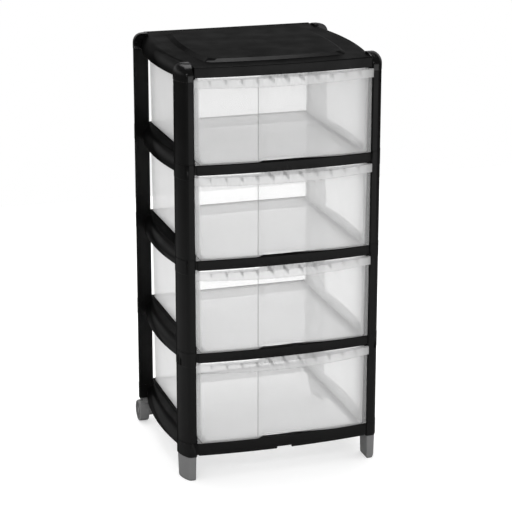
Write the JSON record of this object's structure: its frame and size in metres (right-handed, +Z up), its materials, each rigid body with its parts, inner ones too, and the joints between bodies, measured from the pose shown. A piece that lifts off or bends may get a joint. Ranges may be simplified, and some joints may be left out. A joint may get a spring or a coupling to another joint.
{
  "type": "storage drawer tower",
  "caption": "Free-standing storage tower: frosted pull-out drawers with bowed handle lips in a black frame of posts and shelf frames, on front feet and rear castors.",
  "frame": {"origin": "on the floor, under the middle of the tower's overall box", "axes": "+Z up, the drawers open towards -Y, +X to the right of someone who faces the drawers"},
  "size_m": [0.4048, 0.3964, 0.7987],
  "materials": {
    "black_plastic": "satin",
    "gloss_black_plastic": "polished",
    "frosted_plastic": "frosted, translucent",
    "grey_plastic": "satin"
  },
  "bodies": {
    "frame": {"top_panel": "black_plastic", "corner_cap_front_left": "gloss_black_plastic", "corner_cap_front_right": "gloss_black_plastic", "corner_cap_rear_left": "gloss_black_plastic", "corner_cap_rear_right": "gloss_black_plastic", "shelf_frame_1": "black_plastic", "shelf_frame_2": "black_plastic", "shelf_frame_3": "black_plastic", "base_frame": "black_plastic", "post_1_front_left": "black_plastic", "post_1_front_right": "black_plastic", "post_1_rear_left": "black_plastic", "post_1_rear_right": "black_plastic", "post_2_front_left": "black_plastic", "post_2_front_right": "black_plastic", "post_2_rear_left": "black_plastic", "post_2_rear_right": "black_plastic", "post_3_front_left": "black_plastic", "post_3_front_right": "black_plastic", "post_3_rear_left": "black_plastic", "post_3_rear_right": "black_plastic", "post_4_front_left": "black_plastic", "post_4_front_right": "black_plastic", "post_4_rear_left": "black_plastic", "post_4_rear_right": "black_plastic", "front_foot_left": "grey_plastic", "front_foot_right": "grey_plastic", "castor_bracket_left": "grey_plastic", "castor_bracket_right": "grey_plastic", "castor_axle_left": "grey_plastic", "castor_axle_right": "grey_plastic"},
    "drawer_1": {"drawer_1": "frosted_plastic"},
    "drawer_2": {"drawer_2": "frosted_plastic"},
    "drawer_3": {"drawer_3": "frosted_plastic"},
    "drawer_4": {"drawer_4": "frosted_plastic"},
    "castor_wheel_left": {"castor_wheel_left": "grey_plastic"},
    "castor_wheel_right": {"castor_wheel_right": "grey_plastic"}
  },
  "joints": [
    {"name": "drawer_1_slide", "type": "slide", "parent": "frame", "child": "drawer_1", "axis": [0, -1, 0], "range_m": [0, 0.3]},
    {"name": "drawer_2_slide", "type": "slide", "parent": "frame", "child": "drawer_2", "axis": [0, -1, 0], "range_m": [0, 0.3]},
    {"name": "drawer_3_slide", "type": "slide", "parent": "frame", "child": "drawer_3", "axis": [0, -1, 0], "range_m": [0, 0.3]},
    {"name": "drawer_4_slide", "type": "slide", "parent": "frame", "child": "drawer_4", "axis": [0, -1, 0], "range_m": [0, 0.3]},
    {"name": "castor_wheel_left_spin", "type": "hinge", "parent": "frame", "child": "castor_wheel_left", "pos_m": [-0.1931, 0.1588, 0.0218], "axis": [1, 0, 0], "continuous": true},
    {"name": "castor_wheel_right_spin", "type": "hinge", "parent": "frame", "child": "castor_wheel_right", "pos_m": [0.1931, 0.1588, 0.0218], "axis": [1, 0, 0], "continuous": true}
  ]
}
